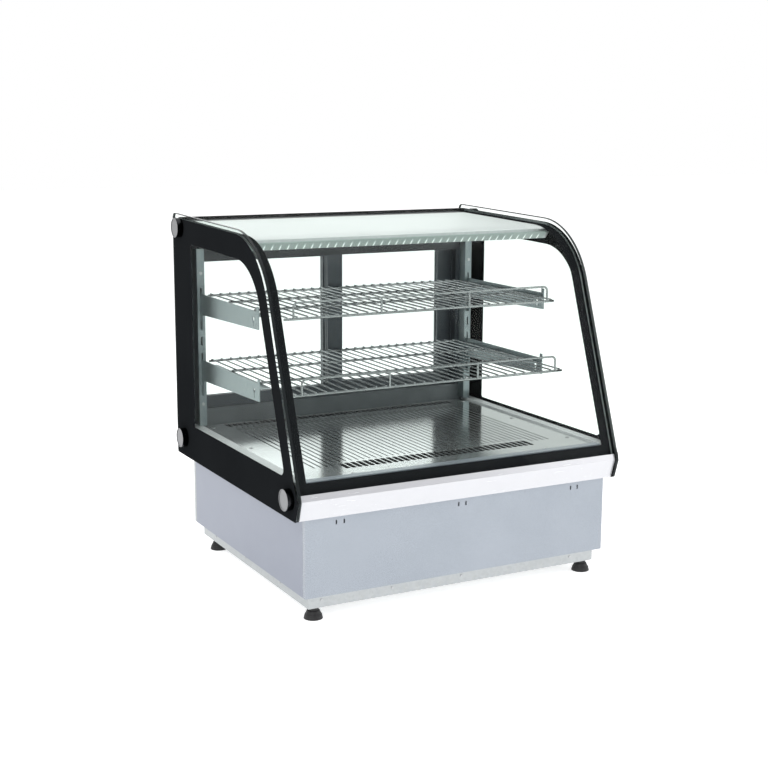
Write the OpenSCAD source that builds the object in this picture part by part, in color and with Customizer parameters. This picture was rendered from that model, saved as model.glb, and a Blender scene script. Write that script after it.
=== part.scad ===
// Countertop refrigerated bakery display case with a curved front glass.
// +Z is up and -Y faces the customer. The origin is on the table, under the middle of the case.

/* [Case] */
// Width over the outer faces of the two side glasses
case_w = 700; // [680:2:720]
// Depth of a side glass, from its rear edge to the tip of its chin
case_d = 620; // [616:2:630]
// Height of the top rear corner of the side glasses above the table
case_h = 706; // [700:1:712]

/* [Glass] */
// Thickness of the side glasses
glass_t = 6; // [5:0.5:6]
// Thickness of the curved front glass
front_t = 5; // [4:0.5:5]
// Outer radius of the bend at the top front of the side glasses
bend_r = 170; // [150:5:190]
// Slope of the front from the vertical, in degrees
front_rake = 19.6; // [18:0.2:20]
// Fall of the roof towards the front, in degrees
roof_fall = 1.5; // [1:0.1:2]
// How far the front glass lies inside the outline of the side glasses
front_inset = 9; // [8:0.5:10]
// Diameter of the round caps that clamp the side glasses
cap_d = 40; // [36:1:42]

/* [Base] */
// Height of the base panels' top edge
base_top = 198; // [198:1:200]
// How far the base panels stand inside the side glasses' outer faces
base_inset = 21; // [19:1:23]
// Height of the base frame's underside above the table
foot_h = 23; // [20:1:24]

/* [Shelves] */
// Height of the upper shelf's wires
upper_shelf_z = 540; // [506:34:540]
// Height of the lower shelf's wires
lower_shelf_z = 402; // [402:2:410]
// Depth of the upper shelf
upper_shelf_d = 385; // [360:5:390]
// Depth of the lower shelf
lower_shelf_d = 420; // [400:5:425]
// Spacing of the shelf wires
wire_pitch = 21; // [20:1:24]

/* [Deck] */
// Height of the deck's top face
deck_z = 262; // [260:1:264]
// Spacing of the long slots in the deck
slot_pitch = 12.8; // [12:0.2:14]

/* [Hidden] */

$fn = 32;
eps = 1;                                // how far a cut runs past the face it opens

front_y = -case_d / 2;                  // tip of the chin
rear_y = case_d / 2;                    // rear edge of the side glasses
outer_x = case_w / 2;
inner_x = outer_x - glass_t;

// Outline of a side glass in the Y-Z plane. A line is [angle of its outward normal, distance].
side_bottom = base_top - 2;
chin_z = side_bottom + 39;
chin_back = 12;                         // how far the bottom front corner lies behind the tip
rear_corner_r = 12;
roof_n = 90 + roof_fall;
rake_n = 180 - front_rake;
chin_n = 180 + atan(chin_back / (chin_z - side_bottom));

function unit(a) = [cos(a), sin(a)];
function line_at(a, p) = [a, p * unit(a)];
function moved(l, inset) = [l[0], l[1] - inset];
function meet(k, l) =
    let (d = cos(k[0]) * sin(l[0]) - sin(k[0]) * cos(l[0]))
    [(k[1] * sin(l[0]) - l[1] * sin(k[0])) / d, (l[1] * cos(k[0]) - k[1] * cos(l[0])) / d];
function y_on(l, z) = (l[1] - z * sin(l[0])) / cos(l[0]);
function z_on(l, y) = (l[1] - y * cos(l[0])) / sin(l[0]);
function arc(c, r, a0, a1, n) = [for (i = [0 : n]) c + r * unit(a0 + (a1 - a0) * i / n)];
// Rounded corner from line k to line l, whose normal points further round
function corner(k, l, r, n) =
    arc(meet(moved(k, r), moved(l, r)), r, k[0], l[0] < k[0] ? l[0] + 360 : l[0], n);

rear_line = [0, rear_y];
roof_line = line_at(roof_n, [rear_y - rear_corner_r, case_h]);
rake_line = line_at(rake_n, [front_y, chin_z]);
chin_line = line_at(chin_n, [front_y, chin_z]);
floor_line = [270, -side_bottom];
bend_c = meet(moved(roof_line, bend_r), moved(rake_line, bend_r));

side_outline = concat(
    corner(rear_line, roof_line, rear_corner_r, 10),
    corner(roof_line, rake_line, bend_r, 60),
    corner(rake_line, chin_line, 1.5, 4),
    corner(chin_line, floor_line, 8, 8),
    corner(floor_line, rear_line, 4, 4)
);

// Centres of the caps on a side glass, as [y, z]
cap_points = [
    [rear_y - 45, case_h - 28],
    [rear_y - 48, side_bottom + 41],
    [front_y + 38, side_bottom + 38]
];
stud_d = 8;
stud_l = 22;                            // length of a stud past the inner face of the glass

// Base
base_x = outer_x - base_inset;
base_front = front_y + 21;
base_rear = rear_y - 39;
sheet = 1.5;
frame_x = base_x - 12;
frame_front = base_front + 13;
frame_rear = base_rear - 21;
frame_h = 25;
frame_t = 2;
frame_flange = 36;
pan_z = foot_h + frame_h;

// Well and deck
shell_x = inner_x - sheet;
shell_front = front_y + 26;
shell_rear = rear_y - 8;
deck_t = 1.5;
rim_z = deck_z - deck_t;                // the deck and the sills rest on the liner's rim
rim_t = 1;
foam_top = rim_z - rim_t;
liner_x = inner_x - 26;
liner_front = front_y + 50;
liner_rear = rear_y - 70;
shallow_z = base_top + 24;
deep_x = liner_x - 28;
deep_rear = -20;
deep_z = 142;
deck_x = liner_x + 3;
deck_front = front_y + 46;
deck_rear = rear_y - 64;

// Sliding doors
rail_front = rear_y - 58;
rail_rear = rear_y - 8;
sill_rail_top = rim_z + 36;
top_rail_z = 608;
post_in = inner_x - 38;                 // inner face of a post
door_t = 14;
track_w = door_t + 2;
track_y = [rail_front + 5, rail_front + 27];
door_low = sill_rail_top - 10.5;
door_top = top_rail_z + 10;
stile_w = 48;
meeting_half = 18;
door_rail_w = 36;
door_head_w = 12;                        // top rail of a door, hidden by the track
pane_t = 4;
door_end = inner_x - 24;                // closed edge of a door, inside its post's groove

// Shelves
upright_in = inner_x - 30;
upright_w = 16;
upright_d = 25;
upright_front = rail_front - upright_d;
hook_pitch = 34;
bracket_t = 2;
bracket_x = upright_in + upright_w / 2; // middle of a bracket's plate
bracket_front = -75;
shelf_x = 294;
wire_d = 3;
rod_d = 5;
shelf_rear = rail_front - 8;
rail_h = 27;

shelf_drop = wire_d / 2 + rod_d - 0.6;  // the wires are pressed 0.6 mm into the cross rods

// Roof
roof_t = 2;
glass_rear = rear_y - 25;
roof_skin = front_inset + front_t;
glass_under = moved(roof_line, roof_skin);
ceiling = moved(roof_line, roof_skin + roof_t);
seal_top = moved(roof_line, front_inset - 1);

// ---------------------------------------------------------------- helpers

module block(lo, hi) translate(lo) cube(hi - lo);

// A solid between x0 and x1 from an outline drawn in the Y-Z plane
module along_x(x0, x1) translate([x0, 0, 0]) rotate([90, 0, 90]) linear_extrude(x1 - x0) children();

module rod_x(x0, x1, y, z, d) translate([x0, y, z]) rotate([0, 90, 0]) cylinder(d = d, h = x1 - x0);
module rod_y(x, y0, y1, z, d) translate([x, y0, z]) rotate([-90, 0, 0]) cylinder(d = d, h = y1 - y0);
module rod_z(x, y, z0, z1, d) translate([x, y, z0]) cylinder(d = d, h = z1 - z0);

module both_sides() {
    children();
    mirror([1, 0, 0]) children();
}

// Round-ended hole through a sheet, from y0 to y1
module long_hole(x, y0, y1, z0, z1, w) {
    block([x - w / 2, y0 + w / 2, z0], [x + w / 2, y1 - w / 2, z1]);
    rod_z(x, y0 + w / 2, z0, z1, w);
    rod_z(x, y1 - w / 2, z0, z1, w);
}

// Axis-aligned tube through the given points, with round elbows
module pipe(points, d) {
    for (i = [0 : len(points) - 2]) {
        a = points[i];
        b = points[i + 1];
        lo = [min(a.x, b.x), min(a.y, b.y), min(a.z, b.z)];
        if (a.x != b.x) rod_x(lo.x, max(a.x, b.x), a.y, a.z, d);
        else if (a.y != b.y) rod_y(a.x, lo.y, max(a.y, b.y), a.z, d);
        else rod_z(a.x, a.y, lo.z, max(a.z, b.z), d);
    }
    for (i = [1 : len(points) - 2]) translate(points[i]) sphere(d = d * 1.04);
}

module screw_down(x, y, z, d) {
    rod_z(x, y, z, z + 0.8, d);
}

// ---------------------------------------------------------------- base

module base_frame() color("silver") difference() {
    block([-frame_x, frame_front, foot_h], [frame_x, frame_rear, pan_z]);
    block([-frame_x + frame_t, frame_front + frame_t, foot_h + frame_t],
          [frame_x - frame_t, frame_rear - frame_t, pan_z - frame_t]);
    block([-frame_x + frame_flange, frame_front + frame_flange, foot_h - eps],
          [frame_x - frame_flange, frame_rear - frame_flange, pan_z + eps]);
    for (x = [-foot_x, foot_x], y = [foot_front, foot_rear])
        rod_z(x, y, foot_h - eps, foot_h + frame_t + eps, foot_stem_d);
}

module base_pan() color("silver") difference() {
    block([-base_x + sheet, base_front + sheet, pan_z], [base_x - sheet, base_rear - sheet, pan_z + sheet]);
    for (x = [60 : 14 : 270])
        long_hole(x, 60, 180, pan_z - eps, pan_z + sheet + eps, 6);
}

// Folded edge of the front or rear panel, round the corner onto the side
fold = 10;
seam = 0.5;
module fold_edges(y0, y1) both_sides() block([base_x - sheet, y0, pan_z], [base_x, y1, base_top]);

module front_panel() color("gainsboro") difference() {
    union() {
        block([-base_x, base_front, pan_z], [base_x, base_front + sheet, base_top]);
        fold_edges(base_front, base_front + fold);
    }
    for (x = [-258, 0, 258], dx = [-8, 8])
        block([x + dx - 1.5, base_front - eps, base_top - 17],
              [x + dx + 1.5, base_front + sheet + eps, base_top - 9]);
}

module side_panel(side) mirror([side < 0 ? 1 : 0, 0, 0]) {
    block([base_x - sheet, base_front + fold + seam, pan_z], [base_x, base_rear - fold - seam, base_top]);
    // Inner flange that carries the well
    block([base_x - 14, base_front + fold + seam, base_top - sheet],
          [base_x - sheet, base_rear - fold - seam, base_top]);
}
module left_panel() color("lightsteelblue") side_panel(-1);
module right_panel() color("lightsteelblue") side_panel(1);

louvre_w = 110;
controller_x = -250;
controller_z = 150;
rocker_x = [-180, -150];
inlet_x = -250;
inlet_z = 85;
inlet_w = 28;
inlet_h = 20;
controller_w = 71;
controller_h = 29;
rocker_w = 13;
rocker_h = 19;

module rear_panel() color("silver") difference() {
    union() {
        block([-base_x, base_rear - sheet, pan_z + sheet], [base_x, base_rear, base_top]);
        fold_edges(base_rear - fold, base_rear);
    }
    for (x = [-45, 95, 235], z = [72 : 12 : 170])
        block([x - louvre_w / 2, base_rear - sheet - eps, z], [x + louvre_w / 2, base_rear + eps, z + 5]);
    block([controller_x - controller_w / 2, base_rear - sheet - eps, controller_z - controller_h / 2],
          [controller_x + controller_w / 2, base_rear + eps, controller_z + controller_h / 2]);
    for (x = rocker_x)
        block([x - rocker_w / 2 - 2, base_rear - sheet - eps, controller_z - rocker_h / 2 - 2],
              [x + rocker_w / 2 + 2, base_rear + eps, controller_z + rocker_h / 2 + 2]);
    block([inlet_x - inlet_w / 2, base_rear - sheet - eps, inlet_z - inlet_h / 2],
          [inlet_x + inlet_w / 2, base_rear + eps, inlet_z + inlet_h / 2]);
}

foot_x = frame_x - 17;
foot_front = frame_front + 15;
foot_rear = frame_rear - 42;
foot_stem_d = 10;
foot_pad_d = 36;

// Levelling foot: a stepped rubber pad on a threaded stem
module foot(x, y) color([0.08, 0.08, 0.08]) translate([x, y, 0]) {
    cylinder(d1 = foot_pad_d, d2 = foot_pad_d - 4, h = 8);
    translate([0, 0, 7.5]) cylinder(d1 = foot_pad_d - 5, d2 = foot_pad_d - 12, h = 8);
    translate([0, 0, 15]) cylinder(d = foot_pad_d - 16, h = foot_h - 15.5);
    translate([0, 0, foot_h - 1]) cylinder(d = foot_stem_d - 0.08, h = 16);
}
module front_left_foot() foot(-foot_x, foot_front);
module front_right_foot() foot(foot_x, foot_front);
module rear_left_foot() foot(-foot_x, foot_rear);
module rear_right_foot() foot(foot_x, foot_rear);

// ---------------------------------------------------------------- well and deck

module stud_holes(d) {
    for (side = [-1, 1], p = cap_points)
        rod_x(side * (inner_x - stud_l / 2) - stud_l / 2, side * (inner_x - stud_l / 2) + stud_l / 2,
              p[0], p[1], d);
}

module well_shell() color("silver") difference() {
    union() {
        block([-shell_x, shell_front, base_top], [shell_x, shell_rear, foam_top]);
        block([-liner_x + 4, base_front + 14, deep_z - 24], [liner_x - 4, deep_rear + 24, base_top + eps]);
    }
    block([-shell_x + sheet, shell_front + sheet, base_top + sheet],
          [shell_x - sheet, shell_rear - sheet, foam_top + eps]);
    block([-liner_x + 4 + sheet, base_front + 14 + sheet, deep_z - 24 + sheet],
          [liner_x - 4 - sheet, deep_rear + 24 - sheet, foam_top]);
    stud_holes(stud_d);
}

module well_insulation() color("lemonchiffon") difference() {
    union() {
        block([-shell_x + sheet, shell_front + sheet, base_top + sheet],
              [shell_x - sheet, shell_rear - sheet, foam_top]);
        block([-liner_x + 4 + sheet, base_front + 14 + sheet, deep_z - 24 + sheet],
              [liner_x - 4 - sheet, deep_rear + 24 - sheet, base_top + sheet + eps]);
    }
    block([-liner_x, liner_front, shallow_z], [liner_x, liner_rear, foam_top + eps]);
    block([-deep_x, liner_front + 6, deep_z], [deep_x, deep_rear, shallow_z + eps]);
    stud_holes(stud_d);
}

module well_liner() color("gainsboro") difference() {
    union() {
        block([-liner_x, liner_front, shallow_z], [liner_x, liner_rear, foam_top + rim_t]);
        block([-deep_x, liner_front + 6, deep_z], [deep_x, deep_rear, shallow_z + eps]);
        block([-shell_x, shell_front, foam_top], [shell_x, shell_rear, foam_top + rim_t]);
    }
    block([-liner_x + 1, liner_front + 1, shallow_z + 1], [liner_x - 1, liner_rear - 1, rim_z + eps]);
    block([-deep_x + 1, liner_front + 7, deep_z + 1], [deep_x - 1, deep_rear - 1, shallow_z + 2]);
}

fascia_inset = 4;
fascia_t = 1.2;
fascia_top = 246;
fascia_low = side_bottom + 1;
module front_fascia() color("whitesmoke") {
    outer_rake = moved(rake_line, fascia_inset);
    inner_rake = moved(rake_line, fascia_inset + fascia_t);
    outer_chin = moved(chin_line, fascia_inset);
    inner_chin = moved(chin_line, fascia_inset + fascia_t);
    along_x(-inner_x, inner_x) polygon([
        [y_on(outer_rake, fascia_top), fascia_top],
        meet(outer_rake, outer_chin),
        [y_on(outer_chin, fascia_low), fascia_low],
        [base_front, fascia_low],
        [base_front, fascia_low + fascia_t],
        [y_on(inner_chin, fascia_low + fascia_t), fascia_low + fascia_t],
        meet(inner_rake, inner_chin),
        [y_on(inner_rake, fascia_top), fascia_top]
    ]);
}

vent_w = 10;
vent_half = 16;                         // vent holes each side of the middle one at the front
rear_vent_half = 21;
vent_y = [-219, -177];
rear_vent_y = [206, 240];
slot_w = 3;
slot_n = 42;
deck_screw_x = 305;
deck_screw_y = [-196, 10, 214];

module deck() color("whitesmoke") difference() {
    union() {
        block([-deck_x, deck_front, rim_z], [deck_x, deck_rear, deck_z]);
        for (y = [liner_front + 1, liner_rear - 2.5])
            block([-liner_x + 1, y, rim_z - 12], [liner_x - 1, y + 1.5, rim_z + 0.5]);
    }
    for (i = [0 : slot_n - 1]) {
        x = (i - (slot_n - 1) / 2) * slot_pitch;
        y0 = abs(x) > (vent_half + 0.8) * slot_pitch ? -191 : -168;
        block([x - slot_w / 2, y0, rim_z - eps], [x + slot_w / 2, 195, deck_z + eps]);
    }
    for (i = [-vent_half : vent_half])
        long_hole(i * slot_pitch, vent_y[0], vent_y[1], rim_z - eps, deck_z + eps, vent_w);
    for (i = [-rear_vent_half : rear_vent_half])
        long_hole(i * slot_pitch, rear_vent_y[0], rear_vent_y[1] - 2, rim_z - eps, deck_z + eps, vent_w);
}

module grille(half, y0, y1) difference() {
    w = (half + 0.6) * slot_pitch;
    block([-w, y0 - 2, rim_z - 8], [w, y1, rim_z]);
    for (i = [-half : half])
        for (y = [y0 + 2, (y0 + y1) / 2 + 1])
            block([i * slot_pitch - 4, y, rim_z - 8 - eps],
                  [i * slot_pitch + 4, y + (y1 - y0) / 2 - 4, rim_z + eps]);
}
module air_grilles() color("dimgray") {
    grille(vent_half, vent_y[0], vent_y[1]);
    grille(rear_vent_half, rear_vent_y[0], rear_vent_y[1] - 3);
}

module side_sills() color("whitesmoke") both_sides()
    block([deck_x + 2, shell_front + 2, rim_z], [shell_x, rail_front, rim_z + 5]);
module front_sill() color("gray")
    block([-deck_x - 2, shell_front + 2, rim_z], [deck_x + 2, deck_front - 1, rim_z + 4]);

module screws() color("silver") {
    for (x = [-deck_screw_x, deck_screw_x], y = deck_screw_y) screw_down(x, y, deck_z, 8);
    for (x = [-215, 215]) screw_down(x, deck_front + 8, deck_z, 8);
    for (side = [-1, 1], z = [312, 586])
        rod_y(side * bracket_x, upright_front - 2, upright_front, z, 6.5);
    for (x = [-290, -143, 8, 262])
        rod_y(x, frame_front - 1, frame_front, foot_h + 14, 5);
    for (side = [-1, 1], y = [-150, 20, 180])
        rod_x(side > 0 ? frame_x : -frame_x - 1, side > 0 ? frame_x + 1 : -frame_x, y, foot_h + 14, 5);
}

// ---------------------------------------------------------------- glass

module side_glass() difference() {
    along_x(inner_x, outer_x) polygon(side_outline);
    for (p = cap_points) rod_x(inner_x - eps, outer_x + eps, p[0], p[1], stud_d + 4);
}
module left_side_glass() color("lightcyan", 0.4) mirror([1, 0, 0]) side_glass();
module right_side_glass() color("lightcyan", 0.4) side_glass();

bend_steps = 60;
function bend_arc(inset, last) =
    [for (i = [0 : last]) bend_c + (bend_r - inset) * unit(roof_n + (rake_n - roof_n) * i / bend_steps)];
function reversed(list) = [for (i = [len(list) - 1 : -1 : 0]) list[i]];

// Cross-section of a bent sheet that runs inset inside the side glasses' outline
module bent_sheet(inset, t, y_rear, z_front) {
    function roof_end(i) = [y_rear, z_on(moved(roof_line, i), y_rear)];
    function low_end(i) = [y_on(moved(rake_line, i), z_front), z_front];
    polygon(concat(
        [roof_end(inset)], bend_arc(inset, bend_steps), [low_end(inset), low_end(inset + t)],
        reversed(bend_arc(inset + t, bend_steps)), [roof_end(inset + t)]
    ));
}

module front_glass() color("lightcyan", 0.4)
    along_x(-inner_x, inner_x) bent_sheet(front_inset, front_t, glass_rear, 236);

cap_t = 13;
module glass_caps() color("silver")
    for (side = [-1, 1], p = cap_points) mirror([side < 0 ? 1 : 0, 0, 0]) {
        difference() {
            rod_x(outer_x, outer_x + cap_t, p[0], p[1], cap_d);
            rod_x(outer_x + cap_t - 0.6, outer_x + cap_t + eps, p[0], p[1], cap_d - 4);
        }
        rod_x(inner_x - stud_l, outer_x + eps, p[0], p[1], stud_d);
    }

// ---------------------------------------------------------------- roof and light

bed = 0.05;                              // thickness of the glue under the bend
roof_steps = 11;                        // steps of the bend that the roof panel follows
roof_top = bend_arc(roof_skin + bed, roof_steps);
roof_low = bend_arc(roof_skin + roof_t, roof_steps);

module roof_panel() color("white") along_x(-inner_x, inner_x) polygon(concat(
    [[rail_front, z_on(glass_under, rail_front)]], roof_top, reversed(roof_low),
    [[rail_front, z_on(ceiling, rail_front)]]
));

module roof_seal() color("black") along_x(-inner_x, inner_x) polygon([
    [glass_rear, z_on(glass_under, glass_rear)], [glass_rear + 6, z_on(glass_under, glass_rear + 6)],
    [glass_rear + 6, z_on(seal_top, glass_rear + 6)], [glass_rear, z_on(seal_top, glass_rear)]
]);

// Beam of the lamp, hung under the front of the roof panel
housing_y = [roof_low[roof_steps].x, roof_low[0].x];
housing_z = 656;
channel_top = 672;
chamfer = 14;
channel_d = 18;
module light_housing() color("silver") difference() {
    along_x(-inner_x + 4, inner_x - 4) polygon(concat(
        roof_low, [[housing_y[0], housing_z + chamfer], [housing_y[0] + chamfer, housing_z],
                   [housing_y[1], housing_z]]
    ));
    // Channel for the light strip, open to the front and below
    block([-inner_x + 12, housing_y[0] - eps, housing_z - eps],
          [inner_x - 12, housing_y[0] + channel_d, channel_top]);
}

led_pitch = 16.7;
board_y = housing_y[0] + channel_d - 1.6;
module led_board() color("white") {
    block([-inner_x + 16, board_y, housing_z + 3], [inner_x - 16, board_y + 1.6, channel_top - 2]);
    for (i = [-19 : 19])
        block([i * led_pitch - 2.5, board_y - 1.4, housing_z + 5],
              [i * led_pitch + 2.5, board_y, housing_z + 9]);
}

cover_t = 1.5;
module led_diffuser() color("honeydew") along_x(-inner_x + 12, inner_x - 12) polygon([
    [housing_y[0], channel_top], [housing_y[0], housing_z + chamfer], [housing_y[0] + chamfer, housing_z],
    [housing_y[0] + channel_d, housing_z], [housing_y[0] + channel_d, housing_z + cover_t],
    [housing_y[0] + chamfer + 0.6, housing_z + cover_t], [housing_y[0] + cover_t, housing_z + chamfer + 0.6],
    [housing_y[0] + cover_t, channel_top]
]);

// ---------------------------------------------------------------- sliding doors

module top_track_rail() color("dimgray") difference() {
    along_x(-inner_x, inner_x) polygon([
        [rail_front, top_rail_z], [rail_rear, top_rail_z],
        [rail_rear, z_on(glass_under, rail_rear)], [rail_front, z_on(glass_under, rail_front)]
    ]);
    for (y = track_y)
        block([-door_end - 2, y, top_rail_z - eps], [door_end + 2, y + track_w, top_rail_z + 18]);
    stud_holes(stud_d);
}

module bottom_track_rail() color("dimgray") difference() {
    block([-inner_x, rail_front, rim_z], [inner_x, rail_rear, sill_rail_top]);
    for (y = track_y)
        block([-door_end - 2, y, sill_rail_top - 12], [door_end + 2, y + track_w, sill_rail_top + eps]);
}

module post() difference() {
    block([post_in, rail_front, sill_rail_top], [inner_x, rail_rear, top_rail_z]);
    for (y = track_y)
        block([post_in - eps, y, sill_rail_top - eps], [door_end + 2, y + track_w, top_rail_z + eps]);
}
module door_posts() color("dimgray") both_sides() post();

// Each door has its wide stile on the same hand: the left door's is where the doors meet.
// A door is [track, [left edge, right edge], [left stile, right stile]].
left_door = [0, [-door_end, meeting_half], [18, 2 * meeting_half]];
right_door = [1, [-meeting_half, door_end], [2 * meeting_half, stile_w]];

module door_frame(door) {
    y = track_y[door[0]] + 1;
    edge = door[1];
    rollers = [edge[0] + 54, edge[1] - 54];
    difference() {
        block([edge[0], y, door_low], [edge[1], y + door_t, door_top]);
        block([edge[0] + door[2][0], y - eps, door_low + door_rail_w],
              [edge[1] - door[2][1], y + door_t + eps, door_top - door_head_w]);
        door_pane(door);
        // Roller pockets
        for (x = rollers) block([x - 12, y + 4, door_low - eps], [x + 12, y + 10, door_low + 14]);
        children();
    }
    for (x = rollers) {
        rod_y(x, y + 3, y + 11, door_low + 5, 3);
        rod_y(x, y + 4.5, y + 9.5, door_low + 5, 12);
    }
}
module door_pane(door) {
    y = track_y[door[0]] + 1 + (door_t - pane_t) / 2;
    edge = door[1];
    block([edge[0] + door[2][0] - 8, y, door_low + door_rail_w - 8],
          [edge[1] - door[2][1] + 8, y + pane_t, door_top - door_head_w + 8]);
}
// Finger pull sunk 6 mm into a door's rear face
module pull(door, x0, x1, z0, z1) {
    y = track_y[door[0]] + 1 + door_t;
    block([x0, y - 6, z0], [x1, y + eps, z1]);
}
module left_door_frame() color("black") door_frame(left_door)
    pull(left_door, -door_end + 18, -door_end + 40, 302, 316);
module left_door_pane() color("lightcyan", 0.4) door_pane(left_door);
module right_door_frame() color("black") door_frame(right_door)
    pull(right_door, door_end - 36, door_end - 20, 400, 510);
module right_door_pane() color("lightcyan", 0.4) door_pane(right_door);

// ---------------------------------------------------------------- shelving

upright_z = [rim_z + 5, 636];
module upright() difference() {
    block([upright_in, upright_front, upright_z[0]], [upright_in + upright_w, rail_front, upright_z[1]]);
    block([upright_in + 1.5, upright_front + 1.5, upright_z[0] - eps],
          [upright_in + upright_w - 1.5, rail_front + eps, upright_z[1] + eps]);
    for (z = [upper_shelf_z - 5 * hook_pitch : hook_pitch : upper_shelf_z + hook_pitch])
        block([bracket_x - 1.6, upright_front - eps, z - 36], [bracket_x + 1.6, upright_front + 2, z - 18]);
}
module left_upright() color("silver") mirror([1, 0, 0]) upright();
module right_upright() color("silver") upright();

module bracket(z) {
    top = z + 4;
    x0 = bracket_x - bracket_t / 2;
    difference() {
        along_x(x0, x0 + bracket_t) polygon([
            [upright_front, top], [upright_front, top - 76], [upright_front - 10, top - 76],
            [upright_front - 12, top - 43], [bracket_front, top - 34], [bracket_front, top + 9],
            [bracket_front + 8, top + 9], [bracket_front + 8, top]
        ]);
        rod_x(x0 - eps, x0 + bracket_t + eps, bracket_front + 24, top - 16, 9);
        block([x0 - eps, bracket_front + 22, top - 30], [x0 + bracket_t + eps, bracket_front + 26, top - 14]);
    }
    // Ledge under the shelf's cross wires
    block([x0 - 26, bracket_front + 10, z - shelf_drop - 1.5],
          [x0 + 0.5, upright_front - 14, z - shelf_drop]);
    // Hooks through the upright
    for (k = [0, 1])
        block([x0, upright_front - 1, slot_top(z, k) - 17],
              [x0 + bracket_t, upright_front + 4, slot_top(z, k) - 3]);
}
// Top of the k-th slot of the upright below a shelf at height z
function slot_top(z, k) = upper_shelf_z - (round((upper_shelf_z - z) / hook_pitch) + k) * hook_pitch - 18;
module upper_left_bracket() color("silver") mirror([1, 0, 0]) bracket(upper_shelf_z);
module upper_right_bracket() color("silver") bracket(upper_shelf_z);
module lower_left_bracket() color("silver") mirror([1, 0, 0]) bracket(lower_shelf_z);
module lower_right_bracket() color("silver") bracket(lower_shelf_z);

// Bent front rail: a top wire with two quarter bends down to the shelf
module front_rail(y, z) {
    bend = 9;
    half = 282;
    rod_x(-half + bend, half - bend, y, z + rail_h, rod_d - 1);
    both_sides() {
        translate([half - bend, y, z + rail_h - bend]) rotate([90, 0, 0])
            rotate_extrude(angle = 90) translate([bend, 0]) circle(d = rod_d - 1);
        rod_z(half, y, z - 2, z + rail_h - bend, rod_d - 1);
        rod_z(98, y, z - 2, z + rail_h, rod_d - 1);
    }
}

module wire_shelf(z, depth) {
    front = shelf_rear - depth;
    low = z - shelf_drop + rod_d / 2;
    n = floor(shelf_x / wire_pitch);
    for (i = [-n : n]) rod_y(i * wire_pitch, front - 1, shelf_rear + 1, z, wire_d);
    for (t = [0, 0.36, 0.7, 1]) rod_x(-shelf_x - 6, shelf_x + 6, front + t * depth, low, rod_d);
    front_rail(front - 3, z);
}
module upper_shelf() color("silver") wire_shelf(upper_shelf_z, upper_shelf_d);
module lower_shelf() color("silver") wire_shelf(lower_shelf_z, lower_shelf_d);

// ---------------------------------------------------------------- refrigeration

coil_x = 220;
coil_y = [-235, -165];
coil_z = [deep_z + 8, 236];
module evaporator_coil() color("lightgray") {
    difference() {
        block([-coil_x, coil_y[0], coil_z[0]], [coil_x, coil_y[1], coil_z[1]]);
        for (x = [-coil_x + 8 : 12 : coil_x - 10]) {
            block([x, coil_y[0] - eps, coil_z[0] + 3], [x + 8, coil_y[0] + 20, coil_z[1] - 3]);
            block([x, coil_y[1] - 20, coil_z[0] + 3], [x + 8, coil_y[1] + eps, coil_z[1] - 3]);
        }
    }
    // Return bends' tube ends
    both_sides() for (y = [coil_y[0] + 12, coil_y[1] - 12], z = [coil_z[0] + 14 : 20 : coil_z[1] - 6])
        rod_x(coil_x - eps, coil_x + 12, y, z, 8);
}

evap_fan = [0, -118, deep_z + 52];
evap_fan_d = 84;
module evaporator_fan_plate() color("silver") {
    difference() {
        block([-deep_x + 1, evap_fan.y - 12, deep_z + 1], [deep_x - 1, evap_fan.y + 12, shallow_z + 20]);
        block([-deep_x, evap_fan.y - 10.5, deep_z + 2.5], [deep_x, evap_fan.y + 13, shallow_z + 18.5]);
        rod_y(evap_fan.x, evap_fan.y - 14, evap_fan.y - 10, evap_fan.z, evap_fan_d);
    }
    // Motor on its strap, behind the rotor
    block([evap_fan.x - 9, evap_fan.y + 9.6, deep_z + 2],
          [evap_fan.x + 9, evap_fan.y + 11.6, shallow_z + 19]);
    rod_y(evap_fan.x, evap_fan.y + 9.6, evap_fan.y + 36, evap_fan.z, 44);
}

module fan_rotor(d, depth, blades) {
    rod_y(0, -depth / 2, depth / 2, 0, d * 0.36);
    intersection() {
        for (i = [0 : blades - 1])
            rotate([0, i * 360 / blades, 0]) translate([d * 0.16, 0, 0]) rotate([32, 0, 0])
                translate([0, -0.9, -d * 0.17]) cube([d * 0.34, 1.8, d * 0.34]);
        rod_y(0, -depth / 2, depth / 2, 0, d);
    }
}
module evaporator_fan() color("dimgray") translate(evap_fan) fan_rotor(evap_fan_d - 8, 18, 5);

comp = [-60, 165];
module compressor() color([0.12, 0.12, 0.13]) {
    translate([comp.x, comp.y, pan_z + sheet + 14]) cylinder(d = 122, h = 74);
    translate([comp.x, comp.y, pan_z + sheet + 88]) cylinder(d1 = 122, d2 = 70, h = 24);
    for (dx = [-52, 52], dy = [-38, 38])
        rod_z(comp.x + dx, comp.y + dy, pan_z + sheet, pan_z + sheet + 14, 20);
    block([comp.x - 62, comp.y - 48, pan_z + sheet + 10], [comp.x + 62, comp.y + 48, pan_z + sheet + 14.5]);
    block([comp.x - 92, comp.y - 28, pan_z + sheet + 26], [comp.x - 56, comp.y + 28, pan_z + sheet + 76]);
}

cond_x = [62, 262];
cond_z = [pan_z + sheet, 176];
cond_y = [232, 262];
module condenser_coil() color([0.2, 0.2, 0.22]) {
    difference() {
        block([cond_x[0], cond_y[0], cond_z[0]], [cond_x[1], cond_y[1], cond_z[1]]);
        for (x = [cond_x[0] + 6 : 9 : cond_x[1] - 10])
            block([x, cond_y[1] - 11, cond_z[0] + 3], [x + 6, cond_y[1] + eps, cond_z[1] - 3]);
    }
    for (z = [cond_tube_z[0] : 20 : cond_tube_z[1]])
        rod_x(cond_x[0] - 10, cond_x[1] + 10, cond_tube_y, z, 8);
}

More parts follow.
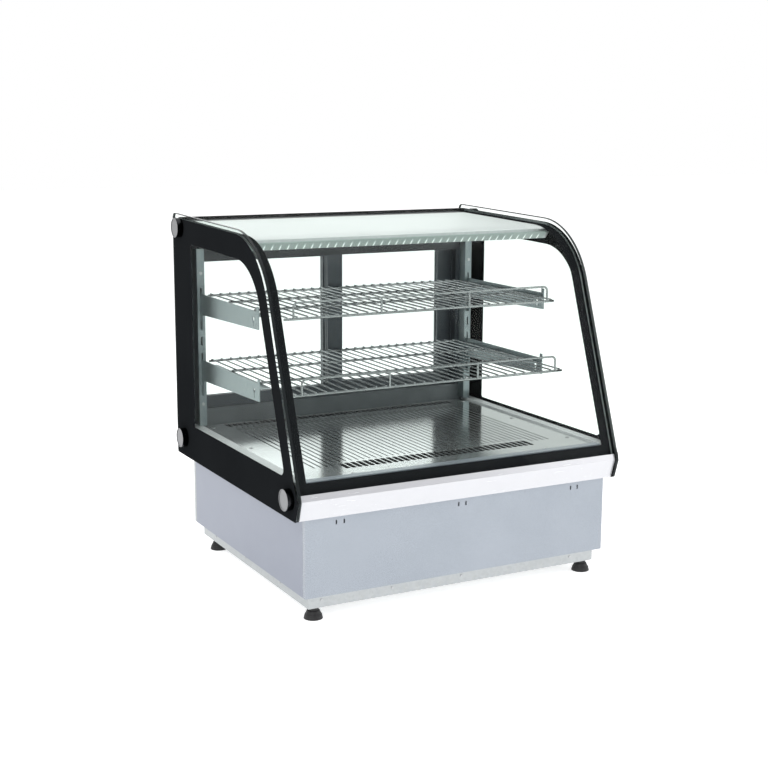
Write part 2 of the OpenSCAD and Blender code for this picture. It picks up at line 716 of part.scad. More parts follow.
cond_fan = [(cond_x[0] + cond_x[1]) / 2, 208, (cond_z[0] + cond_z[1]) / 2];
cond_fan_d = 116;
module condenser_shroud() color([0.2, 0.2, 0.22]) {
    difference() {
        block([cond_x[0], cond_fan.y - 14, cond_z[0]], [cond_x[1], cond_y[0], cond_z[1]]);
        block([cond_x[0] + 2, cond_fan.y + 12, cond_z[0] + 2],
              [cond_x[1] - 2, cond_y[0] + eps, cond_z[1] - 2]);
        rod_y(cond_fan.x, cond_fan.y - 15, cond_fan.y + 13, cond_fan.z, cond_fan_d);
    }
    // Motor on its strap, in front of the rotor
    block([cond_fan.x - 70, cond_fan.y - 17, cond_fan.z - 9],
          [cond_fan.x + 70, cond_fan.y - 13, cond_fan.z + 9]);
    rod_y(cond_fan.x, cond_fan.y - 48, cond_fan.y - 13, cond_fan.z, 52);
}
module condenser_fan() color("dimgray") translate(cond_fan) fan_rotor(cond_fan_d - 8, 22, 5);

cond_tube_y = cond_y[0] + 10;
cond_tube_z = [cond_z[0] + 12, cond_z[0] + 112];
comp_top = pan_z + sheet + 112;
line_x = 30;
well_back = deep_rear + 24;
module refrigerant_pipes() color("peru") {
    // Discharge line, compressor to condenser
    pipe([[comp.x + 30, comp.y, comp_top], [comp.x + 30, comp.y, 188], [line_x, comp.y, 188],
          [line_x, cond_tube_y, 188], [line_x, cond_tube_y, cond_tube_z[1]],
          [cond_x[0] - 10, cond_tube_y, cond_tube_z[1]]], 6);
    // Suction line, compressor to the well
    pipe([[comp.x - 20, comp.y, comp_top], [comp.x - 20, comp.y, 180], [comp.x - 20, well_back + 16, 180],
          [comp.x - 20, well_back + 16, 150], [comp.x - 20, well_back, 150]], 8);
    // Liquid line, drier and capillary, condenser to the well
    pipe([[cond_x[0] - 10, cond_tube_y, cond_tube_z[0]], [line_x, cond_tube_y, cond_tube_z[0]],
          [line_x, 149, cond_tube_z[0]]], 5);
    rod_y(line_x, 70, 150, cond_tube_z[0], 20);
    pipe([[line_x, 71, cond_tube_z[0]], [line_x, well_back + 16, cond_tube_z[0]],
          [line_x, well_back + 16, 150], [line_x, well_back, 150]], 3);
}

module control_box() color("gray") difference() {
    block([-315, 60, pan_z + sheet], [-190, 190, 170]);
    block([-313, 62, pan_z + sheet + 2], [-192, 188, 168]);
    rod_y(-250, 180, 200, 110, 20);     // cable hole
}

// ---------------------------------------------------------------- electrics on the rear panel

module controller() color([0.1, 0.1, 0.11]) difference() {
    union() {
        block([controller_x - controller_w / 2, base_rear - 45, controller_z - controller_h / 2],
              [controller_x + controller_w / 2, base_rear, controller_z + controller_h / 2]);
        block([controller_x - controller_w / 2 - 4, base_rear, controller_z - controller_h / 2 - 3.5],
              [controller_x + controller_w / 2 + 4, base_rear + 6, controller_z + controller_h / 2 + 3.5]);
    }
    for (i = [0 : 2]) rod_y(button_x(i), base_rear - 6, base_rear + 7, controller_z, button_d + 0.8);
    // Window of the display
    block([controller_x - 4, base_rear + 5, controller_z - 9],
          [controller_x + 33, base_rear + 7, controller_z + 9]);
}
button_d = 8;
function button_x(i) = controller_x - 10 - i * 9.6;
module button(i) {
    rod_y(button_x(i), base_rear, base_rear + 7.2, controller_z, button_d);
}
module set_button() color("silver") button(0);
module up_button() color("silver") button(1);
module down_button() color("silver") button(2);

// Rocker on a pin, pressed in at its lower end
rocker_pin = [base_rear - 2, controller_z];
rocker_tilt = 10;
module rocker(x) {
    translate([0, rocker_pin[0], rocker_pin[1]]) rotate([rocker_tilt, 0, 0])
        along_x(x - rocker_w / 2 + 0.5, x + rocker_w / 2 - 0.5)
            polygon([[-4, -7], [3, -8.4], [1.8, 0], [3, 8.4], [-4, 7]]);
    rod_x(x - rocker_w / 2 - 1, x + rocker_w / 2 + 1, rocker_pin[0], rocker_pin[1], 2);
}
module power_rocker() color("darkred") rocker(rocker_x[0]);
module light_rocker() color([0.1, 0.1, 0.11]) rocker(rocker_x[1]);

module rocker_frames() color([0.1, 0.1, 0.11]) for (x = rocker_x) difference() {
    union() {
        block([x - rocker_w / 2 - 2, base_rear - 14, controller_z - rocker_h / 2 - 2],
              [x + rocker_w / 2 + 2, base_rear, controller_z + rocker_h / 2 + 2]);
        block([x - rocker_w / 2 - 3.5, base_rear, controller_z - rocker_h / 2 - 3.5],
              [x + rocker_w / 2 + 3.5, base_rear + 2, controller_z + rocker_h / 2 + 3.5]);
    }
    block([x - rocker_w / 2, base_rear - 12, controller_z - rocker_h / 2],
          [x + rocker_w / 2, base_rear + 3, controller_z + rocker_h / 2]);
    rod_x(x - rocker_w / 2 - 1.2, x + rocker_w / 2 + 1.2, rocker_pin[0], rocker_pin[1], 2.1);
}

module power_inlet() color([0.1, 0.1, 0.11]) {
    difference() {
        union() {
            block([inlet_x - inlet_w / 2, base_rear - 22, inlet_z - inlet_h / 2],
                  [inlet_x + inlet_w / 2, base_rear, inlet_z + inlet_h / 2]);
            block([inlet_x - inlet_w / 2 - 10, base_rear, inlet_z - inlet_h / 2 - 3],
                  [inlet_x + inlet_w / 2 + 10, base_rear + 2.5, inlet_z + inlet_h / 2 + 3]);
        }
        block([inlet_x - 12, base_rear - 16, inlet_z - 8], [inlet_x + 12, base_rear + 4, inlet_z + 8]);
    }
    for (p = [[-7, -2], [0, 2], [7, -2]])
        block([inlet_x + p[0] - 1, base_rear - 17, inlet_z + p[1] - 2],
              [inlet_x + p[0] + 1, base_rear - 2, inlet_z + p[1] + 2]);
}

base_frame();
base_pan();
front_panel();
left_panel();
right_panel();
rear_panel();
well_shell();
well_insulation();
well_liner();
front_fascia();
deck();
side_sills();
front_sill();
air_grilles();
screws();
left_side_glass();
right_side_glass();
front_glass();
glass_caps();
roof_panel();
roof_seal();
light_housing();
led_board();
led_diffuser();
top_track_rail();
bottom_track_rail();
door_posts();
left_door_frame();
left_door_pane();
right_door_frame();
right_door_pane();
left_upright();
right_upright();
upper_left_bracket();
upper_right_bracket();
lower_left_bracket();
lower_right_bracket();
upper_shelf();
lower_shelf();
evaporator_coil();
evaporator_fan_plate();
evaporator_fan();
compressor();
condenser_coil();
condenser_shroud();
condenser_fan();
refrigerant_pipes();
control_box();
controller();
set_button();
up_button();
down_button();
power_rocker();
light_rocker();
rocker_frames();
power_inlet();
front_left_foot();
front_right_foot();
rear_left_foot();
rear_right_foot();
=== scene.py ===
"""Looks, lights and camera for the countertop refrigerated display case."""
import math

import bmesh
import bpy
from mathutils import Matrix, Vector


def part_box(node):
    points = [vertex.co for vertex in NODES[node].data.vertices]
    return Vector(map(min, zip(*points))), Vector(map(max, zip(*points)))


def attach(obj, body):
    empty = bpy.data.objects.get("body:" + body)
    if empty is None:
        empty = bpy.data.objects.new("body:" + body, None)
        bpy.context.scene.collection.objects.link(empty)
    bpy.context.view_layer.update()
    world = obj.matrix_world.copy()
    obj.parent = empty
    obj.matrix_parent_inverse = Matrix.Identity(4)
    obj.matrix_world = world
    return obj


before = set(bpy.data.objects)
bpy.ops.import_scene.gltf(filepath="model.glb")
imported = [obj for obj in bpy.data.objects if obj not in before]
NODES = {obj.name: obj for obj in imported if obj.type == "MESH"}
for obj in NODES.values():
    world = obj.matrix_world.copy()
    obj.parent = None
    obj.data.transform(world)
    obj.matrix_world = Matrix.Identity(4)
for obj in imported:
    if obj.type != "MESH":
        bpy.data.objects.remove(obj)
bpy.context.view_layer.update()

MM = 0.001


# ---------------------------------------------------------------- outline of a side glass, in mm

CASE_D, CASE_H = 620.0, 706.0
INNER_X, OUTER_X = 344.0, 350.0
BEND_R, RAKE, FALL = 170.0, 19.6, 1.5
SIDE_BOTTOM, CHIN_Z, CHIN_BACK = 196.0, 235.0, 12.0
REAR_CORNER_R = 12.0


def unit(deg):
    a = math.radians(deg)
    return (math.cos(a), math.sin(a))


def line_at(deg, p):
    n = unit(deg)
    return (deg, p[0] * n[0] + p[1] * n[1])


def moved(line, inset):
    return (line[0], line[1] - inset)


def meet(k, m):
    (ck, sk), (cm, sm) = unit(k[0]), unit(m[0])
    d = ck * sm - sk * cm
    return ((k[1] * sm - m[1] * sk) / d, (m[1] * ck - k[1] * cm) / d)


def arc(c, r, a0, a1, n):
    turns = [unit(a0 + (a1 - a0) * i / n) for i in range(n + 1)]
    return [(c[0] + r * u[0], c[1] + r * u[1]) for u in turns]


def corner(k, m, r, n):
    return arc(meet(moved(k, r), moved(m, r)), r, k[0], m[0] + (360 if m[0] < k[0] else 0), n)


REAR = (0.0, CASE_D / 2)
ROOF = line_at(90 + FALL, (CASE_D / 2 - REAR_CORNER_R, CASE_H))
FRONT = line_at(180 - RAKE, (-CASE_D / 2, CHIN_Z))
CHIN = line_at(180 + math.degrees(math.atan(CHIN_BACK / (CHIN_Z - SIDE_BOTTOM))), (-CASE_D / 2, CHIN_Z))
FLOOR = (270.0, -SIDE_BOTTOM)
BEND_C = meet(moved(ROOF, BEND_R), moved(FRONT, BEND_R))


# ---------------------------------------------------------------- node helpers

def new_material(name):
    m = bpy.data.materials.new(name)
    m.use_nodes = True
    tree = m.node_tree
    tree.nodes.clear()
    out = tree.nodes.new("ShaderNodeOutputMaterial")
    return m, tree, out


def add(tree, kind, **values):
    n = tree.nodes.new(kind)
    for key, value in values.items():
        if key in n.inputs:
            n.inputs[key].default_value = value
        else:
            setattr(n, key, value)
    return n


def object_coords(tree, scale=(1, 1, 1)):
    tc = add(tree, "ShaderNodeTexCoord")
    mp = add(tree, "ShaderNodeMapping")
    mp.inputs["Scale"].default_value = scale
    tree.links.new(tc.outputs["Object"], mp.inputs["Vector"])
    return mp.outputs["Vector"]


def noise(tree, vector, scale, detail=4, rough=0.55):
    n = add(tree, "ShaderNodeTexNoise")
    n.inputs["Scale"].default_value = scale
    n.inputs["Detail"].default_value = detail
    n.inputs["Roughness"].default_value = rough
    tree.links.new(vector, n.inputs["Vector"])
    return n.outputs["Fac"]


def ramp(tree, fac, stops):
    r = add(tree, "ShaderNodeValToRGB")
    e = r.color_ramp.elements
    while len(e) < len(stops):
        e.new(0.5)
    for item, (pos, col) in zip(e, stops):
        item.position = pos
        item.color = (*col, 1)
    tree.links.new(fac, r.inputs["Fac"])
    return r.outputs["Color"]


def remap(tree, fac, lo, hi, start=0.3, end=0.7):
    r = add(tree, "ShaderNodeMapRange")
    r.inputs["From Min"].default_value = start
    r.inputs["From Max"].default_value = end
    r.inputs["To Min"].default_value = lo
    r.inputs["To Max"].default_value = hi
    tree.links.new(fac, r.inputs["Value"])
    return r.outputs["Result"]


def math_node(tree, op, a, b=None):
    n = add(tree, "ShaderNodeMath", operation=op)
    for i, v in enumerate((a, b)):
        if v is None:
            continue
        if isinstance(v, (int, float)):
            n.inputs[i].default_value = v
        else:
            tree.links.new(v, n.inputs[i])
    return n.outputs[0]


def bump(tree, height, strength, distance):
    b = add(tree, "ShaderNodeBump")
    b.inputs["Strength"].default_value = strength
    b.inputs["Distance"].default_value = distance
    tree.links.new(height, b.inputs["Height"])
    return b.outputs["Normal"]


def surface(name, dark, light, rough=(0.3, 0.45), metallic=0.0, scale=30.0, stretch=(1, 1, 1),
            grain=400.0, bump_mm=0.02, coat=0.0, spec=0.5, blotch=3.0):
    """Principled material with a fine grain along stretch and a broad blotchy variation"""
    m, tree, out = new_material(name)
    fine = noise(tree, object_coords(tree, stretch), grain, 3)
    mid = noise(tree, object_coords(tree), scale, 4)
    broad = noise(tree, object_coords(tree), blotch, 2)
    mix = math_node(tree, "ADD", math_node(tree, "MULTIPLY", mid, 0.5),
                    math_node(tree, "ADD", math_node(tree, "MULTIPLY", fine, 0.25),
                              math_node(tree, "MULTIPLY", broad, 0.25)))
    p = add(tree, "ShaderNodeBsdfPrincipled")
    p.inputs["Metallic"].default_value = metallic
    p.inputs["Specular IOR Level"].default_value = spec
    p.inputs["Coat Weight"].default_value = coat
    p.inputs["Coat Roughness"].default_value = 0.12
    tree.links.new(ramp(tree, mix, [(0.3, dark), (0.7, light)]), p.inputs["Base Color"])
    tree.links.new(remap(tree, math_node(tree, "ADD", math_node(tree, "MULTIPLY", fine, 0.6),
                                         math_node(tree, "MULTIPLY", broad, 0.4)), *rough),
                   p.inputs["Roughness"])
    tree.links.new(bump(tree, fine, 0.5, bump_mm * MM), p.inputs["Normal"])
    tree.links.new(p.outputs["BSDF"], out.inputs["Surface"])
    return m


def galvanised():
    """Hot-dipped sheet: a faint spangle of crystals and a soft sheen"""
    m, tree, out = new_material("galvanised_sheet")
    v = object_coords(tree)
    cells = add(tree, "ShaderNodeTexVoronoi")
    cells.inputs["Scale"].default_value = 170.0
    warp = add(tree, "ShaderNodeVectorMath", operation="ADD")
    wob = add(tree, "ShaderNodeTexNoise")
    wob.inputs["Scale"].default_value = 60.0
    tree.links.new(v, wob.inputs["Vector"])
    small = add(tree, "ShaderNodeVectorMath", operation="SCALE")
    small.inputs["Scale"].default_value = 0.006
    tree.links.new(wob.outputs["Color"], small.inputs[0])
    tree.links.new(v, warp.inputs[0])
    tree.links.new(small.outputs[0], warp.inputs[1])
    tree.links.new(warp.outputs[0], cells.inputs["Vector"])
    sep = add(tree, "ShaderNodeSeparateColor")
    tree.links.new(cells.outputs["Color"], sep.inputs[0])
    grain = sep.outputs[0]
    p = add(tree, "ShaderNodeBsdfPrincipled")
    p.inputs["Metallic"].default_value = 0.85
    tree.links.new(ramp(tree, grain, [(0.0, (0.44, 0.462, 0.468)), (1.0, (0.50, 0.522, 0.528))]),
                   p.inputs["Base Color"])
    tree.links.new(remap(tree, grain, 0.38, 0.44, 0, 1), p.inputs["Roughness"])
    tree.links.new(bump(tree, noise(tree, v, 500, 2), 0.35, 0.02 * MM), p.inputs["Normal"])
    tree.links.new(p.outputs["BSDF"], out.inputs["Surface"])
    return m


WHITE = (1, 1, 1, 1)
GLOSS_HEAD_ON, GLOSS_AT_GRAZING, GLOSS_LIMIT = 0.004, 0.14, 0.008


def clear_glass(name, tint, edge_colour, axis, is_edge=("GREATER_THAN", 0.9), edge_solid=0.75):
    """Thin clear glass with a faint gloss. A face is a cut edge, dark and denser, where is_edge
    holds for how far its normal points along the axis."""
    m, tree, out = new_material(name)
    v = object_coords(tree)
    see = add(tree, "ShaderNodeBsdfTransparent")
    smear = noise(tree, v, 5.0, 3)
    tree.links.new(ramp(tree, smear, [(0.3, tint), (0.7, tuple(min(1.0, c * 1.012) for c in tint))]),
                   see.inputs["Color"])
    gloss = add(tree, "ShaderNodeBsdfGlossy")
    gloss.inputs["Color"].default_value = WHITE
    tree.links.new(remap(tree, smear, 0.01, 0.035), gloss.inputs["Roughness"])
    # Schlick's gloss from the facing angle, the same on both faces of the sheet
    facing = add(tree, "ShaderNodeLayerWeight")
    facing.inputs["Blend"].default_value = 0.5
    slant = math_node(tree, "POWER", facing.outputs["Facing"], 5.0)
    slant = math_node(tree, "MULTIPLY", slant, GLOSS_AT_GRAZING)
    gloss_share = math_node(tree, "ADD", slant, GLOSS_HEAD_ON)
    gloss_share = math_node(tree, "MINIMUM", gloss_share, GLOSS_LIMIT)
    body = add(tree, "ShaderNodeMixShader")
    tree.links.new(gloss_share, body.inputs[0])
    tree.links.new(see.outputs[0], body.inputs[1])
    tree.links.new(gloss.outputs[0], body.inputs[2])
    edge = add(tree, "ShaderNodeBsdfPrincipled")
    edge.inputs["Roughness"].default_value = 0.25
    edge.inputs["Specular IOR Level"].default_value = 0.15
    edge_light = tuple(min(1.0, c * 1.25) for c in edge_colour)
    tree.links.new(ramp(tree, noise(tree, v, 90.0, 3), [(0.3, edge_colour), (0.7, edge_light)]),
                   edge.inputs["Base Color"])
    edge_see = add(tree, "ShaderNodeBsdfTransparent")
    edge_see.inputs["Color"].default_value = (0.75, 0.86, 0.82, 1)
    rim = add(tree, "ShaderNodeMixShader")
    rim.inputs[0].default_value = edge_solid
    tree.links.new(edge_see.outputs[0], rim.inputs[1])
    tree.links.new(edge.outputs[0], rim.inputs[2])
    geo = add(tree, "ShaderNodeNewGeometry")
    sep = add(tree, "ShaderNodeSeparateXYZ")
    tree.links.new(geo.outputs["Normal"], sep.inputs[0])
    across = math_node(tree, "ABSOLUTE", sep.outputs[axis])
    mask = math_node(tree, is_edge[0], across, is_edge[1])
    final = add(tree, "ShaderNodeMixShader")
    tree.links.new(mask, final.inputs[0])
    tree.links.new(body.outputs[0], final.inputs[1])
    tree.links.new(rim.outputs[0], final.inputs[2])
    tree.links.new(final.outputs[0], out.inputs["Surface"])
    return m


def brushed_cap():
    """Turned cap: brushed face, black chromed wall"""
    m, tree, out = new_material("cap_brushed")
    fine = noise(tree, object_coords(tree, (1, 0.05, 1)), 1500, 3)
    face = add(tree, "ShaderNodeBsdfPrincipled")
    face.inputs["Metallic"].default_value = 0.8
    tree.links.new(ramp(tree, fine, [(0.3, (0.20, 0.203, 0.21)), (0.7, (0.28, 0.284, 0.292))]),
                   face.inputs["Base Color"])
    tree.links.new(remap(tree, fine, 0.30, 0.42), face.inputs["Roughness"])
    wall = add(tree, "ShaderNodeBsdfPrincipled")
    wall.inputs["Metallic"].default_value = 1.0
    wall.inputs["Roughness"].default_value = 0.16
    tree.links.new(ramp(tree, fine, [(0.3, (0.018, 0.019, 0.021)), (0.7, (0.030, 0.031, 0.034))]),
                   wall.inputs["Base Color"])
    geo = add(tree, "ShaderNodeNewGeometry")
    sep = add(tree, "ShaderNodeSeparateXYZ")
    tree.links.new(geo.outputs["Normal"], sep.inputs[0])
    flat = math_node(tree, "GREATER_THAN", math_node(tree, "ABSOLUTE", sep.outputs[0]), 0.6)
    mix = add(tree, "ShaderNodeMixShader")
    tree.links.new(flat, mix.inputs[0])
    tree.links.new(wall.outputs[0], mix.inputs[1])
    tree.links.new(face.outputs[0], mix.inputs[2])
    tree.links.new(mix.outputs[0], out.inputs["Surface"])
    return m


LED_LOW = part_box("led_diffuser")[0][2]
LED_PITCH = 16.7


def led_glow():
    """Opal cover lit from behind by a row of small lamps at an even pitch"""
    m, tree, out = new_material("led_cover_glow")
    tc = add(tree, "ShaderNodeTexCoord")
    sep = add(tree, "ShaderNodeSeparateXYZ")
    tree.links.new(tc.outputs["Object"], sep.inputs[0])
    along = math_node(tree, "MULTIPLY", sep.outputs[0], 2 * math.pi / (LED_PITCH * MM))
    wave = math_node(tree, "COSINE", along)
    row = math_node(tree, "POWER", math_node(tree, "MAXIMUM", wave, 0.0), 4.0)
    low = remap(tree, sep.outputs[2], 1.0, 0.0, LED_LOW + 6 * MM, LED_LOW + 13 * MM)
    spots = math_node(tree, "MULTIPLY", row, low)
    p = add(tree, "ShaderNodeBsdfPrincipled")
    tree.links.new(ramp(tree, noise(tree, tc.outputs["Object"], 60, 3),
                        [(0.3, (0.27, 0.315, 0.30)), (0.7, (0.32, 0.365, 0.35))]), p.inputs["Base Color"])
    p.inputs["Roughness"].default_value = 0.3
    tree.links.new(ramp(tree, spots, [(0.0, (0.06, 0.085, 0.08)), (0.3, (0.16, 0.21, 0.195)),
                                      (1.0, (1.0, 1.0, 1.0))]), p.inputs["Emission Color"])
    p.inputs["Emission Strength"].default_value = 0.75
    tree.links.new(p.outputs["BSDF"], out.inputs["Surface"])
    return m


def make_materials():
    g = {}
    g["side_glass"] = clear_glass("side_glass_clear", (0.955, 0.975, 0.965), (0.014, 0.017, 0.018), 0,
                                  is_edge=("LESS_THAN", 0.5), edge_solid=0.92)
    g["front_glass"] = clear_glass("front_glass_clear", (0.955, 0.975, 0.965), (0.30, 0.33, 0.33), 0)
    g["pane"] = clear_glass("door_glass_clear", (0.95, 0.97, 0.965), (0.20, 0.26, 0.25), 2)
    g["galv"] = galvanised()
    g["paint"] = surface("grey_paint", (0.252, 0.277, 0.342), (0.278, 0.305, 0.370), (0.30, 0.42), 0.25,
                         scale=12, grain=900, bump_mm=0.03, coat=0.15)
    # Painted light: the front panel and sill get a lighter copy of the side panels' grey paint, standing in
    # for the brighter light on the front faces
    g["front_paint_painted_light"] = surface("front_paint_painted_light", (0.325, 0.362, 0.41), (0.385, 0.422, 0.472), (0.22, 0.34), 0.3,
                               scale=9, grain=900, bump_mm=0.03, coat=0.15, blotch=6.0)
    g["white"] = surface("white_paint", (0.74, 0.75, 0.76), (0.82, 0.83, 0.84), (0.25, 0.4),
                         scale=15, grain=900, bump_mm=0.02)
    g["fascia"] = surface("fascia_steel", (0.645, 0.65, 0.675), (0.675, 0.68, 0.705), (0.22, 0.28), 0.5,
                          stretch=(0.03, 1, 1), grain=900, bump_mm=0.015)
    g["deck"] = surface("deck_stainless", (0.72, 0.735, 0.735), (0.82, 0.835, 0.835), (0.10, 0.18), 0.85,
                        stretch=(1, 0.03, 1), grain=700, bump_mm=0.008)
    g["liner"] = surface("liner_stainless", (0.5, 0.51, 0.52), (0.62, 0.63, 0.64), (0.25, 0.4), 1.0,
                         stretch=(0.04, 1, 1), grain=500, bump_mm=0.01)
    g["wire"] = surface("bright_wire", (0.26, 0.275, 0.28), (0.40, 0.415, 0.42), (0.18, 0.30), 1.0,
                        scale=60, grain=900, bump_mm=0.01)
    g["cap"] = brushed_cap()
    g["black"] = surface("black_moulding", (0.012, 0.013, 0.014), (0.03, 0.031, 0.033), (0.35, 0.5),
                         grain=1400, bump_mm=0.04)
    g["frit"] = surface("black_print", (0.0110, 0.0122, 0.0135), (0.0150, 0.0165, 0.0180), (0.30, 0.34),
                        spec=0.0, scale=6, grain=2500, bump_mm=0.0)
    g["edge"] = surface("dark_glass_edge", (0.012, 0.015, 0.016), (0.020, 0.024, 0.026), (0.3, 0.4),
                        spec=0.0, scale=40, grain=300, bump_mm=0.0)
    g["frame"] = surface("door_frame_satin", (0.050, 0.060, 0.070), (0.085, 0.098, 0.112), (0.28, 0.42), 0.1,
                         stretch=(1, 1, 0.03), grain=900, bump_mm=0.02)
    g["rail"] = surface("rail_grey", (0.105, 0.118, 0.125), (0.165, 0.18, 0.19), (0.30, 0.45),
                        stretch=(0.03, 1, 1), grain=900, bump_mm=0.02)
    g["top_rail"] = surface("top_rail_dark", (0.030, 0.033, 0.037), (0.055, 0.06, 0.066), (0.35, 0.5),
                            stretch=(0.03, 1, 1), grain=900, bump_mm=0.02)
    g["roof"] = surface("roof_white", (0.76, 0.765, 0.77), (0.82, 0.825, 0.83), (0.3, 0.45),
                        scale=8, grain=700, bump_mm=0.02)
    g["rubber"] = surface("black_rubber", (0.008, 0.008, 0.009), (0.022, 0.022, 0.023), (0.4, 0.6),
                          grain=1200, bump_mm=0.06)
    g["led"] = led_glow()
    g["board"] = surface("led_board_white", (0.75, 0.75, 0.70), (0.85, 0.85, 0.80), (0.4, 0.5))
    g["fins"] = surface("fin_aluminium", (0.55, 0.56, 0.57), (0.72, 0.73, 0.74), (0.35, 0.5), 1.0)
    g["copper"] = surface("drawn_copper", (0.50, 0.22, 0.12), (0.72, 0.38, 0.24), (0.25, 0.45), 1.0,
                          scale=40, grain=600)
    g["black_steel"] = surface("black_enamel", (0.010, 0.010, 0.011), (0.03, 0.03, 0.032), (0.2, 0.35),
                               coat=0.3)
    g["foam"] = surface("foam_cut", (0.60, 0.50, 0.28), (0.80, 0.70, 0.45), (0.8, 0.95), scale=200,
                        grain=900, bump_mm=0.3)
    g["red"] = surface("red_key", (0.35, 0.02, 0.015), (0.5, 0.035, 0.025), (0.2, 0.35), coat=0.3)
    g["button"] = surface("grey_key", (0.22, 0.23, 0.24), (0.32, 0.33, 0.34), (0.4, 0.5))
    g["bracket"] = surface("bracket_zinc", (0.20, 0.24, 0.25), (0.32, 0.365, 0.375), (0.30, 0.42), 0.8,
                           scale=90, grain=900, bump_mm=0.02)
    g["screw"] = surface("zinc_screw", (0.40, 0.41, 0.42), (0.60, 0.61, 0.62), (0.25, 0.4), 1.0, grain=1500)
    return g


LOOKS = {
    "side_glass": ["left_side_glass", "right_side_glass"],
    "front_glass": ["front_glass"],
    "pane": ["left_door_pane", "right_door_pane"],
    "galv": ["base_frame", "base_pan", "rear_panel", "well_shell", "light_housing", "evaporator_fan_plate"],
    "bracket": ["left_upright", "right_upright", "upper_left_bracket", "upper_right_bracket",
                "lower_left_bracket", "lower_right_bracket"],
    "paint": ["left_panel", "right_panel"],
    # front panel and sill: lighter copy of the grey paint, painted light on the front faces
    "front_paint_painted_light": ["front_panel", "front_sill"],
    "white": ["side_sills"],
    "fascia": ["front_fascia"],
    "deck": ["deck"],
    "liner": ["well_liner"],
    "wire": ["upper_shelf", "lower_shelf"],
    "cap": ["glass_caps"],
    "black": ["air_grilles", "evaporator_fan", "condenser_fan", "control_box", "controller",
              "light_rocker", "rocker_frames", "power_inlet"],
    "frame": ["left_door_frame", "right_door_frame", "door_posts"],
    "rail": ["bottom_track_rail"],
    "top_rail": ["top_track_rail"],
    "roof": ["roof_panel"],
    "rubber": ["roof_seal", "front_left_foot", "front_right_foot", "rear_left_foot", "rear_right_foot"],
    "led": ["led_diffuser"],
    "board": ["led_board"],
    "fins": ["evaporator_coil", "condenser_coil"],
    "copper": ["refrigerant_pipes"],
    "black_steel": ["compressor", "condenser_shroud"],
    "foam": ["well_insulation"],
    "red": ["power_rocker"],
    "button": ["set_button", "up_button", "down_button"],
    "screw": ["screws"],
}


def dress_nodes(looks):
    for key, names in LOOKS.items():
        for name in names:
            obj = NODES[name]
            mesh = obj.data
            if not mesh.materials:
                mesh.materials.append(looks[key])
            for slot in obj.material_slots:
                slot.material = looks[key]
            for poly in mesh.polygons:
                poly.use_smooth = True
            mesh.set_sharp_from_angle(angle=math.radians(28))
    missing = set(NODES) - {n for names in LOOKS.values() for n in names}
    assert not missing, missing


# ---------------------------------------------------------------- pieces

def mesh_piece(name, verts, faces, material):
    mesh = bpy.data.meshes.new(name)
    mesh.from_pydata([Vector(v) * MM for v in verts], [], faces)
    mesh.validate()
    mesh.materials.append(material)
    obj = bpy.data.objects.new(name, mesh)
    bpy.context.scene.collection.objects.link(obj)
    fix_normals(obj)
    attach(obj, "case")


def fix_normals(obj):
    bm = bmesh.new()
    bm.from_mesh(obj.data)
    bmesh.ops.recalc_face_normals(bm, faces=bm.faces)
    bm.to_mesh(obj.data)
    bm.free()


def plate(name, outer, inner, x0, x1, material, closed=True):
    """Plate from x0 to x1 between two lines of equal length in the Y-Z plane: a ring or an open strip"""
    n = len(outer)
    assert n == len(inner), (n, len(inner))
    verts = [(x, y, z) for x in (x0, x1) for loop in (outer, inner) for y, z in loop]
    faces = []
    for i in range(n if closed else n - 1):
        j = (i + 1) % n
        faces.append((i, j, n + j, n + i))
        faces.append((2 * n + i, 3 * n + i, 3 * n + j, 2 * n + j))
        faces.append((i, 2 * n + i, 2 * n + j, j))
        faces.append((n + i, n + j, 3 * n + j, 3 * n + i))
    if not closed:
        faces.append((0, n, 3 * n, 2 * n))
        faces.append((n - 1, 3 * n - 1, 4 * n - 1, 2 * n - 1))
    mesh_piece(name, verts, faces, material)


FRIT_EDGE = 9.0          # clear strip round the printed border of a side glass
BORDER_W = 20.0          # printed border of the front glass
ROOF_BORDER, FRONT_BORDER, BEND_BORDER = 55.0, 45.0, 50.0
WINDOW_REAR, WINDOW_LOW = 205.0, 270.0


def frit_loops():
    roof, front, rear = moved(ROOF, FRIT_EDGE), moved(FRONT, FRIT_EDGE - 1), moved(REAR, 4.0)
    chin, floor = moved(CHIN, 1.2), moved(FLOOR, 0.3)
    outer = (corner(rear, roof, 6, 6) + corner(roof, front, BEND_R - FRIT_EDGE, 60)
             + corner(front, chin, 3, 5) + corner(chin, floor, 5, 5) + corner(floor, rear, 4, 5))
    roof_in, front_in = moved(ROOF, ROOF_BORDER), moved(FRONT, FRONT_BORDER)
    rear_in, floor_in = (REAR[0], WINDOW_REAR), (FLOOR[0], -WINDOW_LOW)
    inner = (corner(rear_in, roof_in, 5, 6) + corner(roof_in, front_in, BEND_R - BEND_BORDER, 60)
             + corner(front_in, floor_in, 12, 11) + corner(floor_in, rear_in, 5, 5))
    return outer, inner


def make_frits(looks):
    """Black printed border of each side glass"""
    outer, inner = frit_loops()
    for side, name in ((-1, "left_glass_border"), (1, "right_glass_border")):
        plate(name, outer, inner, side * (OUTER_X + 0.02), side * (OUTER_X + 0.12), looks["frit"])


def edge_loop(inset):
    roof, front, rear = moved(ROOF, inset), moved(FRONT, inset), moved(REAR, inset)
    chin, floor = moved(CHIN, inset), moved(FLOOR, inset)
    return (corner(rear, roof, REAR_CORNER_R - inset, 10) + corner(roof, front, BEND_R - inset, 60)
            + corner(front, chin, 1.5, 4) + corner(chin, floor, 8 - inset, 8)
            + corner(floor, rear, 4 - inset, 4))


def make_edge_lines(looks):
    """Dark line of the ground edge, seen through the faces of a side glass"""
    outer, inner = edge_loop(0.1), edge_loop(2.0)
    mid = (INNER_X + OUTER_X) / 2
    for side, name in ((-1, "left_glass_edge"), (1, "right_glass_edge")):
        plate(name, outer, inner, side * (mid - 0.1), side * (mid + 0.1), looks["edge"])


